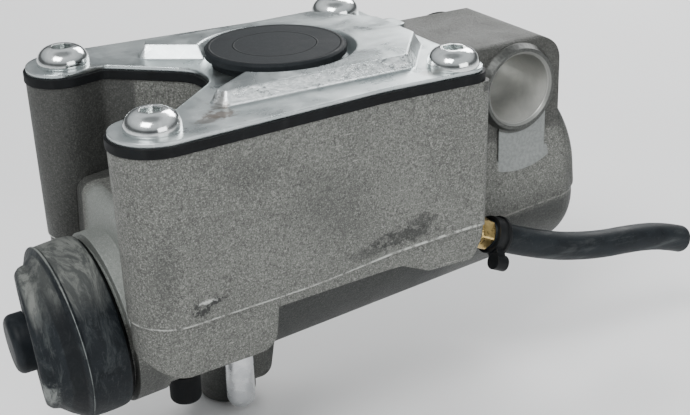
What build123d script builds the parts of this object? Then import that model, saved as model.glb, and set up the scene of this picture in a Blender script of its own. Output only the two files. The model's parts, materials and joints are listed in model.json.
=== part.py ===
from build123d import *
import math
import os

# Surge-brake master cylinder, in millimetres.
# Origin: where the axis of the eye's cross bore meets the mid-plane of the barrel.
# +X runs from the push rod to the closed end, +Z is up with the reservoir level,
# and -Y is the side of the hose fitting.

# ---- Cover outline, seen from above: a horseshoe open towards the push rod ----
screw_x_rear = -23.0
screw_span_x = 67.0
screw_span_y = 49.2
screw_to_rear = 5.7
screw_to_front = 8.2
rear_to_waist = 24.7
cover_rear_half = 30.2
cover_waist_half = 29.4
cover_front_half = 33.6
arm_inner_half = 14.7
arm_length = 14.8
notch_kink_half = 18.4
notch_depth = 29.8
notch_apex_half = 4.7
rear_corner_radius = 4.2
cast_corner_radius = 1.6
waist_radius = 30.0
arm_outer_share = 0.476
arm_inner_radius = 7.0
kink_radius = 3.0
apex_radius = 8.0

# ---- Heights ----
rim_height = 8.8
gasket_thickness = 1.9
lid_sheet = 1.0
plateau_rise = 2.8
parting_front = -26.6
parting_rear = -23.6
apex_to_bend = 6.4
floor_bottom = -28.8
reservoir_floor = 3.4
foot_bottom = -37.8

# ---- Reservoir ----
wall_thickness = 3.4
wall_draft = 1.0
rim_margin = 0.3
gasket_margin = 0.6
flash_step = 0.4
column_radius = 5.4
screw_radius = 3.15
screw_length = 16.0
tapped_depth = 15.0

# ---- Barrel, with distances measured along it from the boot's seat ----
barrel_tilt = 5.0
barrel_drop = 28.7
flange_to_front = 0.9
barrel_half_width = 19.1
barrel_depth = 17.4
barrel_past_eye = 15.7
end_round = 7.0
end_web_length = 26.8
end_web_half = 17.4
end_web_rise = 6.4
end_web_round = 3.2
saddle_height = 8.3
flange_radius = 18.8
flange_length = 8.0
flange_gap = 0.9
nose_length = 7.0
nose_radius = 16.4
boot_groove_start = -2.3
boot_groove_end = -0.1
boot_groove_radius = 15.2
bore_radius = 12.7
end_wall = 16.8

# ---- Outlet in the closed end ----
outlet_boss_radius = 9.0
outlet_boss_rise = 1.6
outlet_thread_radius = 4.35
outlet_thread_depth = 10.0
thread_relief_radius = 4.7
thread_relief_length = 1.6
tube_seat_radius = 3.0
tube_seat_length = 4.0
outlet_passage_radius = 1.6

# ---- Ports between reservoir and barrel ----
inlet_port_at = 36.5
inlet_port_radius = 2.5
relief_port_at = 54.4
relief_port_radius = 0.8

# ---- Block between the arms ----
block_top = -11.7
block_setback = 5.6
block_lean = 0.7
block_half = 18.0
block_round = 3.0

# ---- Eye ----
eye_bore_radius = 7.94
eye_ring_radius = 9.3
eye_ring_foot = 10.2
eye_ring_rise = 1.8
eye_half_width = 16.0
eye_top = 10.5
eye_front_x = -16.3
eye_back_x = 12.1
eye_back_lean = 1.3
eye_corner_radius = 6.0
eye_edge_round = 2.4
bore_chamfer = 0.7
pad_left = -4.9
pad_right = 8.0
pad_radius = 19.4
pad_rise = 0.5

# ---- Feet under the arms ----
foot_length = 29.5
foot_draft = 1.2
foot_front_round = 10.0
foot_rear_round = 4.0
foot_inner_y = 19.2

# ---- Underside boss with its rib, locating pin and bump stop ----
under_boss_x = -65.4
under_boss_y = 6.0
under_boss_radius = 6.5
under_boss_bottom = -68.0
under_boss_round = 1.5
rib_reach = 12.5
rib_thickness = 7.0
rib_bottom = -65.0
rib_round = 3.0
pin_x = -66.7
pin_y = -4.0
pin_radius = 3.2
pin_bottom = -66.4
pin_seat_depth = 3.0
bump_x = -80.0
bump_y = -4.0
bump_radius = 3.5
bump_stem_radius = 2.2
bump_bottom = -60.3
bump_seat_depth = 2.6

# ---- Hose port in the rear boss ----
port_x = -18.5
port_inset = 4.2
port_z = -26.7
port_tilt = 25.0
port_boss_front_x = -40.4
port_boss_foot_x = -32.0
port_boss_bottom = -31.6
port_boss_inner_y = -16.0
port_thread_radius = 2.4
port_thread_depth = 6.0
port_passage_radius = 1.3
port_passage_length = 14.0
fitting_flats = 6.4
fitting_hex_length = 4.0
barb_length = 5.6
barb_root_radius = 1.35
barb_tip_radius = 1.6
fitting_bore_radius = 0.8

# ---- Hose and clamp ----
hose_radius = 3.3
hose_bore_radius = 1.7
hose_first_run = 15.5
hose_route = [
    (15.2, -26.2, -39.2),
    (29.0, -26.2, -40.5),
    (37.8, -26.0, -42.4),
    (43.9, -25.8, -44.9),
]
clamp_band = 0.85
clamp_width = 3.2
clamp_start = 0.5
clamp_lip = 0.4
clamp_lip_width = 0.7
clamp_head_size = 2.8
clamp_knob_radius = 1.8
clamp_turn = 45.0

# ---- Filler plug ----
apex_to_plug = 16.9
plug_radius = 15.1
plug_thickness = 1.8
plug_edge_round = 0.5
plug_shoulder_radius = 13.6
plug_shoulder = 1.8
plug_neck_radius = 12.4
plug_neck_length = 6.0
plug_wall = 2.2
filler_clearance = 0.3

# ---- Lid plateau ----
plateau_half = 22.0
plug_to_front = 22.3
plug_to_tip = 24.2
plateau_tip_half = 17.6
plug_to_mouth = 11.1
plateau_mouth_half = 8.4
plateau_rear_gap = 2.7
plateau_rear_half = 8.0
plateau_corner_gap = 13.5
plateau_slope = 30.0
plateau_round = 2.0
dish_radius = 15.6
ear_near_y = 7.6
ear_far_y = 13.6
ear_reach = 3.4

# ---- Lid screws ----
head_radius = 5.55
head_height = 3.8
head_edge = 0.5
head_top_radius = 2.7
socket_flats = 3.97
socket_depth = 2.2

# ---- Push rod and boot ----
rod_radius = 6.4
rod_tip = -19.3
rod_tip_round = 1.8
rod_lean = 4.5
rod_shank_radius = 5.8
rod_collar_radius = 9.3
rod_collar_start = -1.4
rod_collar_length = 2.4
rod_neck_radius = 3.4
rod_ball_radius = 4.5
rod_ball_end = 9.0
rod_groove_start = -15.2
rod_groove_end = -13.6
rod_groove_radius = 5.7
boot_rim_radius = 18.7
boot_mid_radius = 19.0
boot_seam_radius = 19.2
boot_seam_at = -9.4

# ---- Piston group ----
stop_washer_start = -3.8
stop_washer_thickness = 1.6
stop_washer_hole = 8.3
ring_start = -5.2
ring_thickness = 1.3
ring_band = 2.6
ring_groove_depth = 1.2
ring_gap_angle = 50.0
recess_radius = 9.9
recess_end = 2.0
piston_end = 46.0
piston_clearance = 0.05
piston_waist_radius = 8.8
waist_start = 14.0
waist_end = 40.0
rear_groove_start = 6.0
rear_groove_end = 10.5
rear_groove_radius = 9.6
bleed_holes = 6
bleed_hole_radius = 0.9
bleed_circle_radius = 10.6
spigot_radius = 2.9
spigot_length = 4.4
cup_clearance = 0.08
cup_washer_thickness = 0.3
cup_base = 3.0
cup_length = 6.6
seat_sheet = 0.8
seat_hub_length = 4.0
spring_radius = 8.3
spring_wire_radius = 1.0
spring_turns = 5.5
valve_sheet = 0.9
valve_flange_radius = 11.4
valve_hub_length = 4.6
valve_seat_thickness = 2.0
face_gap = 0.05

# ---- Values worked out from the ones above ----
screw_x_front = screw_x_rear - screw_span_x
screw_half_y = screw_span_y / 2
cover_rear_x = screw_x_rear + screw_to_rear
cover_waist_x = cover_rear_x - rear_to_waist
cover_front_x = screw_x_front - screw_to_front
flange_to_eye = flange_to_front - cover_front_x
barrel_length = flange_to_eye + barrel_past_eye
notch_kink_x = cover_front_x + arm_length
notch_apex_x = cover_front_x + notch_depth
arm_width = cover_front_half - arm_inner_half
arm_outer_radius = arm_outer_share * arm_width
parting_bend_x = notch_apex_x + apex_to_bend
block_front_x = cover_front_x + block_setback
foot_rear_x = cover_front_x + foot_length
plug_x = notch_apex_x + apex_to_plug
plateau_front_x = plug_x - plug_to_front
plateau_tip_x = plug_x - plug_to_tip
plateau_mouth_x = plug_x - plug_to_mouth
plateau_rear_x = cover_rear_x - plateau_rear_gap
plateau_corner_x = cover_rear_x - plateau_corner_gap
port_y = port_inset - cover_rear_half
lid_bottom = rim_height + gasket_thickness
lid_top = lid_bottom + lid_sheet
floor_top = floor_bottom + reservoir_floor
end_web_start = barrel_length - end_web_length
bore_end = barrel_length - end_wall
piston_start = stop_washer_start + stop_washer_thickness + face_gap
piston_radius = bore_radius - piston_clearance
cup_washer_start = piston_end + face_gap
cup_start = cup_washer_start + cup_washer_thickness + face_gap
seat_start = cup_start + cup_base + face_gap
spring_start = seat_start + seat_sheet + face_gap
valve_seat_start = bore_end - valve_seat_thickness
valve_start = valve_seat_start - face_gap - valve_sheet
spring_end = valve_start - face_gap
outlet_face = barrel_length + outlet_boss_rise
tube_seat_end = outlet_face - outlet_thread_depth
ball_centre = rod_ball_end - rod_ball_radius
neck_end = ball_centre - math.sqrt(rod_ball_radius**2 - rod_neck_radius**2)
tilt_slope = math.tan(math.radians(barrel_tilt))
port_slope = math.tan(math.radians(port_tilt))

barrel = Rotation(0, -barrel_tilt, 0) * Pos(-flange_to_eye, 0, -barrel_drop)
port = Pos(port_x, port_y, port_z) * Rotation(0, port_tilt, 0)
upwards = (Align.CENTER, Align.CENTER, Align.MIN)
hanging = (Align.MIN, Align.CENTER, Align.MAX)


def lathe(*stations):
    """Turns a closed outline of (x, radius) stations about the local X axis."""
    outline = Polyline(*stations, close=True)
    return revolve(Plane.XZ * make_face(outline), axis=Axis.X)


def ring(start, end, inner, outer):
    """A plain ring about the local X axis."""
    return lathe((start, inner), (end, inner), (end, outer), (start, outer))


def disc(start, end, radius):
    """A plain cylinder about the local X axis."""
    return lathe((start, 0), (end, 0), (end, radius), (start, radius))


def upright(x, y, low, high, radius):
    """A vertical cylinder between two heights."""
    return Pos(x, y, low) * Cylinder(radius, high - low, align=upwards)


def slab(face, low, high):
    """Raises a level face from one height to another."""
    return Pos(0, 0, low) * extrude(face, amount=high - low)


def side_profile(points, radii, near, far):
    """Extrudes an outline drawn in X and Z from one Y to another."""
    outline = FilletPolyline(*points, radius=radii, close=True)
    return Pos(0, far, 0) * extrude(Plane.XZ * make_face(outline), amount=far - near)


def cross_cylinder(radius, near, far):
    """A cylinder along Y about the eye's axis."""
    return Pos(0, far, 0) * extrude(Plane.XZ * Circle(radius), amount=far - near)


def at_screws(low, high, radius):
    """Four vertical cylinders about the lid screws."""
    places = [(x, y) for x in (screw_x_front, screw_x_rear) for y in (-screw_half_y, screw_half_y)]
    return [upright(x, y, low, high, radius) for x, y in places]


def horseshoe(margin, rear_corner=rear_corner_radius):
    """The cover's outline, grown or shrunk all round by a margin."""
    half = [
        (cover_rear_x, cover_rear_half, rear_corner),
        (cover_waist_x, cover_waist_half, waist_radius),
        (cover_front_x, cover_front_half, arm_outer_radius),
        (cover_front_x, arm_inner_half, arm_inner_radius),
        (notch_kink_x, notch_kink_half, kink_radius),
        (notch_apex_x, notch_apex_half, apex_radius),
    ]
    corners = half + [(x, -y, radius) for x, y, radius in reversed(half)]
    points = [(x, y) for x, y, radius in corners]
    radii = [radius for x, y, radius in corners]
    face = make_face(FilletPolyline(*points, radius=radii, close=True))
    if margin == 0:
        return face
    return offset(face, amount=margin, kind=Kind.ARC)


def wall_column(margin, low):
    """The outline taken down from the rim to a height, with the mould's draft."""
    face = Pos(0, 0, rim_height) * horseshoe(margin, cast_corner_radius)
    return extrude(face, amount=low - rim_height, taper=wall_draft)


def above_parting():
    """The space above the parting line, which climbs towards the rear."""
    points = [
        (cover_front_x - 5, parting_front),
        (parting_bend_x, parting_front),
        (cover_rear_x + 5, parting_rear),
        (cover_rear_x + 5, rim_height + 1),
        (cover_front_x - 5, rim_height + 1),
    ]
    return side_profile(points, [0, 12, 0, 0, 0], -45, 45)


def reservoir():
    """Outer walls of the reservoir, with a floor and the screw columns."""
    walls = wall_column(rim_margin, floor_bottom) & above_parting()
    walls += wall_column(rim_margin - flash_step, floor_bottom)
    hollow = slab(horseshoe(rim_margin - wall_thickness), floor_top, rim_height + 1)
    for column in at_screws(floor_top, rim_height + 2, column_radius):
        hollow -= column
    return walls - hollow


def barrel_front():
    """Boot flange and nose in front of the barrel, in the barrel's own frame."""
    return lathe(
        (-nose_length, 0),
        (-nose_length, nose_radius - 1),
        (-nose_length + 1, nose_radius),
        (boot_groove_start, nose_radius),
        (boot_groove_start, boot_groove_radius),
        (boot_groove_end, boot_groove_radius),
        (boot_groove_end, nose_radius),
        (flange_gap, nose_radius),
        (flange_gap, flange_radius),
        (flange_length, flange_radius),
        (flange_length, 0),
    )


def barrel_tube():
    """Barrel with its shallower lower half and its rounded closed end."""
    top = ThreePointArc((-barrel_half_width, 0), (0, barrel_half_width), (barrel_half_width, 0))
    bottom = EllipticalCenterArc((0, 0), barrel_half_width, barrel_depth, 180, arc_size=180)
    section = Plane.YZ * make_face([top, bottom])
    tube = Pos(flange_length - 1, 0, 0) * extrude(section, amount=barrel_length - flange_length + 1)
    return fillet(tube.faces().sort_by(Axis.X)[-1].edges(), end_round)


def end_web():
    """Arched web that carries the barrel's closed end up into the eye."""
    side = end_web_half
    outline = [
        Line((-side, 0), (side, 0)),
        Line((side, 0), (side, end_web_rise)),
        ThreePointArc((side, end_web_rise), (0, end_web_rise + side), (-side, end_web_rise)),
        Line((-side, end_web_rise), (-side, 0)),
    ]
    web = extrude(Plane.YZ * make_face(outline), amount=barrel_length - end_web_start)
    web = fillet(web.faces().sort_by(Axis.X)[-1].edges(), end_web_round)
    return Pos(end_web_start, 0, 0) * web


def barrel_bore():
    """Everything bored out of the barrel, in the barrel's own frame."""
    groove_radius = bore_radius + ring_groove_depth
    groove_end = ring_start + ring_thickness + face_gap
    bore = lathe(
        (-nose_length - 1, 0),
        (-nose_length - 1, bore_radius + 2),
        (-nose_length + 1, bore_radius),
        (ring_start - face_gap, bore_radius),
        (ring_start - face_gap, groove_radius),
        (groove_end, groove_radius),
        (groove_end, bore_radius),
        (bore_end, bore_radius),
        (bore_end, 0),
    )
    bore += disc(bore_end - 1, tube_seat_end, outlet_passage_radius)
    bore += disc(tube_seat_end - tube_seat_length, tube_seat_end + 1, tube_seat_radius + face_gap / 2)
    bore += disc(tube_seat_end, outlet_face + 1, outlet_thread_radius)
    bore += disc(tube_seat_end, tube_seat_end + thread_relief_length, thread_relief_radius)
    length = barrel_half_width + 5
    bore += Pos(inlet_port_at, 0, 0) * Cylinder(inlet_port_radius, length, align=upwards)
    bore += Pos(relief_port_at, 0, 0) * Cylinder(relief_port_radius, length, align=upwards)
    return bore


def notch_block():
    """Solid block that closes the bottom of the gap between the arms."""
    points = [
        (block_front_x - block_lean, floor_bottom),
        (block_front_x, block_top),
        (notch_apex_x + 2, block_top),
        (notch_apex_x + 2, floor_bottom),
    ]
    return side_profile(points, [0, block_round, 0, 0], -block_half, block_half)


def eye_block():
    """Eye lug above the barrel's closed end."""
    start = cover_rear_x - 2
    points = [
        (start, -barrel_drop),
        (eye_back_x + eye_back_lean, -barrel_drop),
        (eye_back_x, -eye_bore_radius),
        (eye_back_x, eye_top),
        (eye_front_x, eye_top),
        (eye_front_x, rim_height - 0.5),
        (start, rim_height - 0.5),
    ]
    radii = [0, 0, 3.0, eye_corner_radius, 0.8, 0, 0]
    block = side_profile(points, radii, -eye_half_width, eye_half_width)
    side = eye_half_width
    outline = [(-side, -barrel_drop), (side, -barrel_drop), (side, eye_top), (-side, eye_top)]
    arch = FilletPolyline(*outline, radius=[0, 0, eye_edge_round, eye_edge_round], close=True)
    hull = extrude(Plane.YZ * make_face(arch), amount=eye_back_x + eye_back_lean - start)
    return block & (Pos(start, 0, 0) * hull)


def eye_details():
    """Raised machined ring on both sides and the machined pad below the near one."""
    face = -eye_half_width
    raised = cross_cylinder(eye_ring_radius, face - eye_ring_rise, -face + eye_ring_rise)
    for side in (-1, 1):
        foot = Cone(eye_ring_foot, eye_ring_radius, eye_ring_rise)
        raised += Pos(0, side * (-face + eye_ring_rise / 2), 0) * Rotation(-90 * side, 0, 0) * foot
    width = pad_right - pad_left
    pad = Pos(pad_left + width / 2, face - pad_rise, -pad_radius / 2) * Box(width, 2, pad_radius)
    pad &= cross_cylinder(pad_radius, face - pad_rise, face + 1)
    return raised + pad


def eye_bore():
    """Cross bore with a chamfer at both mouths."""
    mouth = eye_half_width + eye_ring_rise
    wide = eye_bore_radius + bore_chamfer
    hole = cross_cylinder(eye_bore_radius, -mouth - 1, mouth + 1)
    for side in (-1, 1):
        turn = Rotation(90 * side, 0, 0)
        cone = Cone(eye_bore_radius, wide, bore_chamfer)
        hole += Pos(0, side * (mouth - bore_chamfer / 2), 0) * turn * Rotation(180, 0, 0) * cone
    return hole


def feet():
    """Pads under the two arms, inside the reservoir's own outline."""
    top = parting_front + 1
    points = [
        (cover_front_x - 1, top),
        (cover_front_x - 1, foot_bottom),
        (foot_rear_x - foot_draft, foot_bottom),
        (foot_rear_x, top),
    ]
    bar = side_profile(points, [0, foot_front_round, foot_rear_round, 0], -45, 45)
    depth = 2 * (rim_height - foot_bottom)
    gap = Pos(cover_front_x, 0, foot_bottom) * Box(3 * foot_length, 2 * foot_inner_y, depth)
    return (bar & wall_column(rim_margin - flash_step, foot_bottom)) - gap


def port_boss():
    """Sloping boss under the near rear corner that takes the hose fitting."""
    top = parting_rear - 1
    points = [
        (port_boss_front_x, floor_bottom + 0.8),
        (port_boss_foot_x, port_boss_bottom),
        (port_x + (port_boss_bottom - port_z) * port_slope, port_boss_bottom),
        (port_x + (top - port_z) * port_slope, top),
        (port_boss_front_x, top),
    ]
    bar = side_profile(points, [0, 3, 2, 0, 0], -45, port_boss_inner_y)
    return bar & wall_column(rim_margin - flash_step, port_boss_bottom)


def barrel_axis_height(x):
    """Height of the barrel's axis at a place along X."""
    return x * tilt_slope - barrel_drop / math.cos(math.radians(barrel_tilt))


def barrel_underside(x, y):
    """Height of the barrel's underside at a place under it."""
    share = math.sqrt(1 - (y / barrel_half_width) ** 2)
    return barrel_axis_height(x) - barrel_depth * share


def underside():
    """Round boss under the barrel, tied to it by a rib."""
    top = barrel_axis_height(under_boss_x) - barrel_depth + 4
    boss = Cylinder(under_boss_radius, top - under_boss_bottom, align=upwards)
    boss = fillet(boss.edges().group_by(Axis.Z)[0], under_boss_round)
    boss = Pos(under_boss_x, under_boss_y, under_boss_bottom) * boss
    points = [
        (under_boss_x, top),
        (under_boss_x, rib_bottom),
        (under_boss_x + rib_reach - 3, rib_bottom),
        (under_boss_x + rib_reach, top),
    ]
    half = rib_thickness / 2
    return boss + side_profile(points, [0, 0, rib_round, 0], under_boss_y - half, under_boss_y + half)


def port_tool():
    """Tapped hole and drilling for the hose fitting."""
    hole = disc(-port_thread_depth, 1, port_thread_radius + face_gap)
    hole += disc(-port_passage_length, 0, port_passage_radius)
    return port * (hole + disc(0, 4, fitting_flats / 2 + 1.0))


def eye_mass():
    """Eye of the casting before drilling, with the arched web that carries it."""
    return eye_block() + eye_details() + barrel * end_web()


def barrel_mass():
    """Barrel of the casting before drilling, with all that is cast on it but the eye."""
    mass = barrel * (barrel_front() + barrel_tube())
    mass += barrel * disc(barrel_length - 3, outlet_face, outlet_boss_radius)
    mass += notch_block() + underside()
    length = 2 * end_web_length
    width = 3 * end_web_half
    below = Pos(end_web_start - 5, 0, saddle_height) * Box(length, width, 3 * barrel_depth, align=hanging)
    return mass + (eye_mass() & (barrel * below))


def cast_barrel():
    """Barrel of the casting, up to the saddle where the eye begins."""
    body = barrel_mass() - barrel * barrel_bore()
    body -= port_tool()
    pin_top = barrel_underside(pin_x, pin_y) + pin_seat_depth
    body -= upright(pin_x, pin_y, pin_bottom, pin_top, pin_radius + face_gap / 2)
    bump_top = barrel_underside(bump_x, bump_y) + bump_seat_depth
    body -= upright(bump_x, bump_y, bump_bottom, bump_top, bump_stem_radius + face_gap / 2)
    return body


def cast_eye():
    """Eye of the casting, from the saddle upwards."""
    return eye_mass() - barrel_mass() - eye_bore()


def cast_reservoir():
    """Reservoir of the casting with its feet and the boss of the hose port."""
    body = reservoir() + feet() + port_boss()
    body -= barrel_mass()
    body -= eye_mass()
    body -= barrel * barrel_bore()
    body -= port_tool()
    for hole in at_screws(rim_height - tapped_depth, rim_height + 1, screw_radius + face_gap / 2):
        body -= hole
    return body


def lid_plateau(base):
    """Raised panel of the lid, dished round the filler and open towards the notch."""
    half = [
        (plateau_corner_x, plateau_half),
        (plateau_front_x, plateau_half),
        (plateau_tip_x, plateau_tip_half),
        (plateau_mouth_x, plateau_mouth_half),
    ]
    points = [(plateau_rear_x, plateau_rear_half)] + half
    points += [(x, -y) for x, y in reversed(points)]
    rounded = [plateau_round] * 4 + [0, 0] + [plateau_round] * 4
    panel = make_face(FilletPolyline(*points, radius=rounded, close=True))
    panel -= Pos(plug_x, 0, 0) * Circle(dish_radius)
    return Pos(0, 0, base) * extrude(panel, amount=plateau_rise, taper=plateau_slope)


def reservoir_lid():
    """Stamped lid with its raised panel, filler hole and screw holes."""
    plan = horseshoe(0)
    ear = Pos(cover_rear_x + ear_reach / 2 - 1, (ear_near_y + ear_far_y) / 2, 0)
    ear = ear * RectangleRounded(ear_reach + 2, ear_far_y - ear_near_y, 1.2)
    lid = slab(plan + ear, lid_bottom, lid_top)
    lid += lid_plateau(lid_top)
    lid -= lid_plateau(lid_bottom)
    lid -= upright(plug_x, 0, lid_bottom - 1, lid_top + 5, plug_neck_radius + filler_clearance)
    for hole in at_screws(lid_bottom - 1, lid_top + 1, screw_radius + filler_clearance):
        lid -= hole
    return lid


def lid_gasket():
    """Flat gasket that follows the reservoir's rim and screw columns."""
    plan = slab(horseshoe(gasket_margin), rim_height, lid_bottom)
    hollow = slab(horseshoe(rim_margin - wall_thickness), rim_height - 1, lid_bottom + 1)
    for column in at_screws(rim_height - 2, lid_bottom + 2, column_radius):
        hollow -= column
    gasket = plan - hollow
    for hole in at_screws(rim_height - 1, lid_bottom + 1, screw_radius + filler_clearance):
        gasket -= hole
    return gasket


def lid_screw():
    """Button-head screw with a hexagon socket, standing on its head's seat."""
    slope = (head_radius - head_top_radius) * 0.26
    middle = (head_radius - slope, head_edge + (head_height - head_edge) * 0.62)
    profile = [
        Line((0, -screw_length), (screw_radius, -screw_length)),
        Line((screw_radius, -screw_length), (screw_radius, 0)),
        Line((screw_radius, 0), (head_radius, 0)),
        Line((head_radius, 0), (head_radius, head_edge)),
        ThreePointArc((head_radius, head_edge), middle, (head_top_radius, head_height)),
        Line((head_top_radius, head_height), (0, head_height)),
        Line((0, head_height), (0, -screw_length)),
    ]
    screw = revolve(Plane.XZ * make_face(profile), axis=Axis.Z)
    socket = RegularPolygon(socket_flats / 2, 6, major_radius=False)
    return screw - slab(socket, head_height - socket_depth, head_height + 1)


def lid_screws():
    """The four lid screws."""
    screw = lid_screw()
    places = [(x, y) for x in (screw_x_front, screw_x_rear) for y in (-screw_half_y, screw_half_y)]
    return Compound(children=[Pos(x, y, lid_top) * screw for x, y in places])


def filler_plug():
    """Rubber plug: a thin disc over a shoulder, with a hollow neck in the lid's hole."""
    disc_bottom = lid_top + plug_shoulder
    disc_top = disc_bottom + plug_thickness
    neck_bottom = lid_top - plug_neck_length
    hollow = plug_neck_radius - plug_wall
    profile = Polyline(
        (0, disc_top),
        (plug_radius - plug_edge_round, disc_top),
        (plug_radius, disc_top - plug_edge_round),
        (plug_radius, disc_bottom),
        (plug_shoulder_radius, disc_bottom),
        (plug_shoulder_radius, lid_top),
        (plug_neck_radius, lid_top),
        (plug_neck_radius, neck_bottom),
        (hollow, neck_bottom),
        (hollow, lid_top - 1),
        (0, lid_top - 1),
        close=True,
    )
    return Pos(plug_x, 0, 0) * revolve(Plane.XZ * make_face(profile), axis=Axis.Z)


def leaning(shape):
    """Swings a piece about the rod's ball, the way the free rod leans."""
    return Pos(ball_centre, 0, 0) * Rotation(0, 0, -rod_lean) * Pos(-ball_centre, 0, 0) * shape


def push_rod():
    """Push rod with its boot groove, collar and ball, resting at a slight lean."""
    shoulder = rod_groove_end + 0.8
    profile = [
        Line((rod_tip, 0), (rod_tip, rod_radius - rod_tip_round)),
        RadiusArc((rod_tip, rod_radius - rod_tip_round), (rod_tip + rod_tip_round, rod_radius), rod_tip_round),
        Polyline(
            (rod_tip + rod_tip_round, rod_radius),
            (rod_groove_start, rod_radius),
            (rod_groove_start, rod_groove_radius),
            (rod_groove_end, rod_groove_radius),
            (rod_groove_end, rod_radius),
            (shoulder, rod_radius),
            (shoulder, rod_shank_radius),
            (rod_collar_start, rod_shank_radius),
            (rod_collar_start, rod_collar_radius),
            (rod_collar_start + rod_collar_length, rod_collar_radius),
            (rod_collar_start + rod_collar_length, rod_neck_radius),
            (neck_end, rod_neck_radius),
        ),
        ThreePointArc((neck_end, rod_neck_radius), (ball_centre, rod_ball_radius), (rod_ball_end, 0)),
        Line((rod_ball_end, 0), (rod_tip, 0)),
    ]
    return leaning(revolve(Plane.XZ * make_face(profile), axis=Axis.X))


def rubber_boot():
    """Boot cup clipped in the nose's groove, with its lip in the leaning rod's groove."""
    lip_radius = rod_groove_radius + face_gap
    lip_end = rod_groove_end - face_gap
    lip_start = rod_groove_start + face_gap
    seam = boot_seam_at
    cup = lathe(
        (0, nose_radius + face_gap),
        (0, boot_rim_radius),
        (-4.5, boot_mid_radius),
        (seam + 1, boot_mid_radius - 0.2),
        (seam, boot_seam_radius),
        (seam - 1, boot_mid_radius - 0.8),
        (-11.7, 16.2),
        (-12.8, 14.8),
        (-13.2, 12.4),
        (-12.0, 12.2),
        (-11.4, 13.6),
        (-10.4, 14.8),
        (-nose_length - 1.4, 16.6),
        (-nose_length - 1, nose_radius + face_gap),
        (boot_groove_start + face_gap, nose_radius + face_gap),
        (boot_groove_start + face_gap, boot_groove_radius + face_gap),
        (boot_groove_end - face_gap, boot_groove_radius + face_gap),
        (boot_groove_end - face_gap, nose_radius + face_gap),
    )
    front = lathe(
        (-11.4, 14.9),
        (-13.0, 14.2),
        (-14.3, 12.4),
        (-14.9, 9.5),
        (lip_start, 8.0),
        (lip_start, lip_radius),
        (lip_end, lip_radius),
        (lip_end, 9.2),
        (-12.6, 11.8),
        (-11.4, 12.9),
    )
    return cup + leaning(front)


def piston():
    """Piston with its seal groove, waist, bleed holes and spring-side spigot."""
    socket = rod_ball_radius + face_gap
    profile = [
        Polyline(
            (rod_ball_end + face_gap, 0),
            (piston_end + spigot_length, 0),
            (piston_end + spigot_length, spigot_radius),
            (piston_end, spigot_radius),
            (piston_end, piston_radius),
            (waist_end, piston_radius),
            (waist_end, piston_waist_radius),
            (waist_start, piston_waist_radius),
            (waist_start, piston_radius),
            (rear_groove_end, piston_radius),
            (rear_groove_end, rear_groove_radius),
            (rear_groove_start, rear_groove_radius),
            (rear_groove_start, piston_radius),
            (piston_start, piston_radius),
            (piston_start, recess_radius),
            (recess_end, recess_radius),
            (recess_end, socket),
            (ball_centre, socket),
        ),
        RadiusArc((ball_centre, socket), (rod_ball_end + face_gap, 0), socket),
    ]
    body = revolve(Plane.XZ * make_face(profile), axis=Axis.X)
    drill = Pos(0, 0, bleed_circle_radius) * disc(waist_end - 1, piston_end + 1, bleed_hole_radius)
    for hole in range(bleed_holes):
        body -= Rotation(360 / bleed_holes * hole, 0, 0) * drill
    return body


def primary_cup():
    """Pressure seal in front of the piston, its lip towards the spring."""
    lip = bore_radius - cup_clearance
    hole = spigot_radius + face_gap
    return lathe(
        (cup_start, hole),
        (cup_start, lip - 0.7),
        (cup_start + cup_base, lip - 0.5),
        (cup_start + cup_length, lip),
        (cup_start + cup_length, lip - 0.8),
        (cup_start + cup_base + 0.8, lip - 2.2),
        (cup_start + cup_base, lip - 2.6),
        (cup_start + cup_base, hole),
    )


def secondary_cup():
    """Seal in the piston's rear groove, its lip towards the waist."""
    lip = bore_radius - cup_clearance
    inner = rear_groove_radius + face_gap
    start = rear_groove_start + face_gap
    end = rear_groove_end - face_gap
    return lathe(
        (start, inner),
        (start, lip - 0.4),
        (end, lip),
        (end, lip - 0.9),
        (start + 1.8, lip - 1.4),
        (end, inner + 0.9),
        (end, inner),
    )


def spring_seat():
    """Pressed seat between the primary cup and the return spring."""
    hub = spring_radius - spring_wire_radius - 0.3
    return lathe(
        (seat_start, spigot_radius + 0.3),
        (seat_start, spring_radius + spring_wire_radius + 0.4),
        (seat_start + seat_sheet, spring_radius + spring_wire_radius + 0.4),
        (seat_start + seat_sheet, hub),
        (seat_start + seat_hub_length, hub),
        (seat_start + seat_hub_length, hub - seat_sheet),
        (seat_start + seat_sheet, hub - seat_sheet),
        (seat_start + seat_sheet, spigot_radius + 0.3),
    )


def return_spring():
    """Open coil spring between its seat and the residual valve."""
    length = spring_end - spring_start - 2 * spring_wire_radius
    path = Helix(length / spring_turns, length, spring_radius)
    wire = Plane(origin=path @ 0, z_dir=path % 0) * RegularPolygon(spring_wire_radius, 6)
    coil = sweep(wire, path=path, is_frenet=True)
    return Pos(spring_start + spring_wire_radius, 0, 0) * Rotation(0, 90, 0) * coil


def valve_shell():
    """Residual valve's shell, which also centres the spring."""
    hub = spring_radius - spring_wire_radius - 0.3
    end = valve_start + valve_sheet
    shell = lathe(
        (end, 1.2),
        (end, valve_flange_radius),
        (valve_start, valve_flange_radius),
        (valve_start, hub),
        (valve_start - valve_hub_length, hub - 0.4),
        (valve_start - valve_hub_length, 1.2),
        (valve_start - valve_hub_length + valve_sheet, 1.2),
        (valve_start - valve_hub_length + valve_sheet, hub - valve_sheet - 0.4),
        (end - 0.5, hub - valve_sheet),
        (end - 0.5, 1.2),
    )
    return shell


def valve_seat():
    """Rubber seat of the residual valve against the closed end of the bore."""
    return ring(valve_seat_start, bore_end - face_gap, outlet_passage_radius + 1.4, bore_radius - 0.3)


def stop_washer():
    """Washer that stops the piston and the rod's collar."""
    start = stop_washer_start
    return ring(start, start + stop_washer_thickness, stop_washer_hole, bore_radius - face_gap * 2)


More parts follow.
